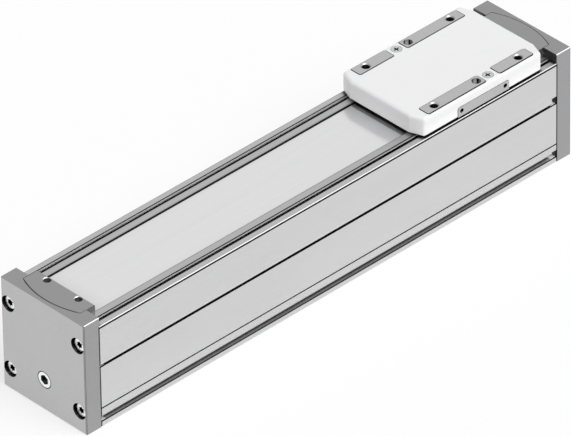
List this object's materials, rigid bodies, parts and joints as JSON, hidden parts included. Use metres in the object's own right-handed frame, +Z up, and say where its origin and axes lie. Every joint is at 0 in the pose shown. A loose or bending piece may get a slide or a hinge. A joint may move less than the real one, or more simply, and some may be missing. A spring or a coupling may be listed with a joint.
{
  "type": "passive guide axis",
  "caption": "Undriven linear guide axis: a slide on a ball rail inside a closed aluminium profile, with end caps, a steel cover strip and threaded load pads.",
  "frame": {"origin": "centre of the bottom face, on the surface that the axis lies on", "axes": "+X along the travel to the far end, where the slide rests, +Z up through the slide's load pads, and -Y the long side that the picture shows"},
  "size_m": [0.34, 0.06, 0.0735],
  "materials": {
    "profile_aluminium": "natural anodised extrusion, satin",
    "cap_aluminium": "anodised, fine matt",
    "clamp_aluminium": "anodised, fine matt",
    "carrier_aluminium": "natural anodised, satin",
    "strip_steel": "rolled stainless strip, bright satin",
    "zinc_screws": "zinc plated, bright",
    "plug_steel": "zinc plated",
    "dark_screws": "black oxide",
    "rail_steel": "ground hardened steel",
    "slide_aluminium": "milled and anodised",
    "cover_plastic": "moulded, fine matt white",
    "cover_screws": "zinc plated",
    "end_plate_plastic": "moulded, dark green",
    "seal_rubber": "nitrile rubber, matt",
    "stop_rubber": "nitrile rubber, matt"
  },
  "bodies": {
    "housing": {"housing_profile": "profile_aluminium", "end_cap_near": "cap_aluminium", "end_cap_far": "cap_aluminium", "strip_clamp_near": "clamp_aluminium", "strip_clamp_far": "clamp_aluminium", "cover_carrier": "carrier_aluminium", "cover_strip": "strip_steel", "end_cap_screws_near": "zinc_screws", "end_cap_screws_far": "zinc_screws", "sealing_plug_near": "plug_steel", "sealing_plug_far": "plug_steel", "clamp_screws_near": "dark_screws", "clamp_screws_far": "dark_screws", "rail_screws": "dark_screws", "guide_rail": "rail_steel", "end_stops_near": "stop_rubber", "end_stops_far": "stop_rubber"},
    "slide": {"slide_body": "slide_aluminium", "slide_cover": "cover_plastic", "cover_screws": "cover_screws", "runner_block_near": "rail_steel", "runner_block_far": "rail_steel", "runner_end_plate_near_left": "end_plate_plastic", "runner_end_plate_near_right": "end_plate_plastic", "runner_end_plate_far_left": "end_plate_plastic", "runner_end_plate_far_right": "end_plate_plastic", "runner_seal_near_left": "seal_rubber", "runner_seal_near_right": "seal_rubber", "runner_seal_far_left": "seal_rubber", "runner_seal_far_right": "seal_rubber", "runner_screws": "dark_screws"}
  },
  "joints": [
    {"name": "slide_travel", "type": "slide", "parent": "housing", "child": "slide", "axis": [1, 0, 0], "range_m": [-0.2155, 0.0009]}
  ]
}
